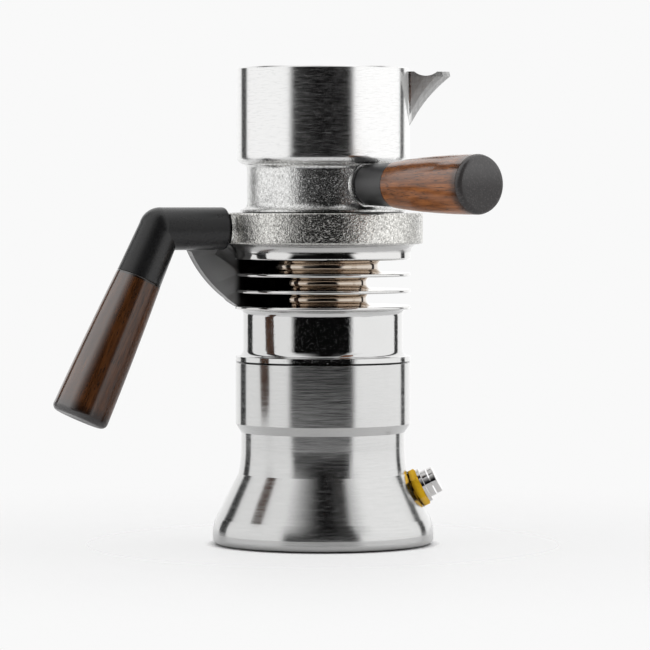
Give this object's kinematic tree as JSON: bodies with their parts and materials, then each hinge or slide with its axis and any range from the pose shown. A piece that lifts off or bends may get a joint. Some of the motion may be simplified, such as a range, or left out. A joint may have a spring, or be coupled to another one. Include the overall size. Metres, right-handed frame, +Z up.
{
  "type": "stovetop espresso maker",
  "caption": "Stovetop espresso maker: flared boiler with relief valve, polished finned cooler, cast collar with an angled grip, and a twist-lock brewing cup with pouring lip and wooden handle.",
  "frame": {"origin": "middle of the flat underside of the boiler's foot", "axes": "+Z up along the turned axis, -Y towards the viewer of the picture, +X towards the pouring lip"},
  "size_m": [0.1975, 0.1494, 0.2164],
  "materials": {
    "boiler_metal": "turned and brushed round",
    "drum_metal": "mirror polished",
    "cooler_metal": "mirror polished",
    "cast_metal": "sand-cast and blasted",
    "cup_metal": "cast neck, cup wall brushed round",
    "valve_brass": "machined",
    "inner_brass": "machined",
    "valve_steel": "turned",
    "inner_steel": "plain",
    "outlet_steel": "turned",
    "coil_copper": "drawn tube",
    "seal_rubber": "silicone",
    "gasket_rubber": "silicone",
    "arm_plastic": "moulded, fine satin",
    "ferrule_plastic": "moulded, fine satin",
    "guard_plastic": "moulded, fine satin",
    "grip_wood": "walnut, oiled"
  },
  "bodies": {
    "base": {"boiler_base": "boiler_metal", "safety_washer": "valve_brass", "safety_body": "valve_brass", "safety_bonnet": "valve_steel", "safety_spring": "inner_steel"},
    "safety_valve": {"safety_stem": "valve_steel"},
    "seal": {"boiler_seal": "seal_rubber"},
    "upper": {"second_boiler": "drum_metal", "heat_sink": "cooler_metal", "dip_tube": "inner_steel", "brew_valve_body": "inner_brass", "brew_valve_cap": "inner_brass", "brew_spring": "inner_steel", "cooling_coil": "coil_copper", "group_collar": "cast_metal", "collar_screws": "inner_steel", "group_gasket": "gasket_rubber", "shower_screen": "inner_steel", "screen_screw": "inner_steel", "handle_arm": "arm_plastic", "arm_stud": "inner_steel", "handle_guard": "guard_plastic", "main_grip": "grip_wood", "main_grip_rod": "inner_steel"},
    "brew_valve": {"brew_poppet": "inner_steel"},
    "cup": {"brew_cup": "cup_metal", "coffee_outlet": "outlet_steel", "filter_basket": "inner_steel", "cup_ferrule": "ferrule_plastic", "cup_grip": "grip_wood", "cup_handle_rod": "inner_steel"}
  },
  "joints": [
    {"name": "seal_rise", "type": "slide", "parent": "base", "child": "seal", "axis": [0, 0, 1], "range_m": [0, 0.0091]},
    {"name": "body_unscrew", "type": "hinge", "parent": "seal", "child": "upper", "pos_m": [0, 0, 0.0828], "axis": [0, 0, 1], "range_deg": [0, 1080]},
    {"name": "cup_bayonet", "type": "hinge", "parent": "upper", "child": "cup", "pos_m": [0, 0, 0.1466], "axis": [0, 0, 1], "range_deg": [0, 60]},
    {"name": "safety_lift", "type": "slide", "parent": "base", "child": "safety_valve", "axis": [0.8932, -0.0468, 0.4473], "range_m": [0, 0.0015], "stiffness_N_per_m": 2000, "springref_m": -0.004, "deforming": ["safety_spring"]},
    {"name": "brew_lift", "type": "slide", "parent": "upper", "child": "brew_valve", "axis": [0, 0, 1], "range_m": [0, 0.0015], "stiffness_N_per_m": 3000, "springref_m": -0.004, "deforming": ["brew_spring"]}
  ],
  "couplings": [
    {"joint": "seal_rise", "follows": "body_unscrew", "m_per_rad": 0.00047746}
  ]
}
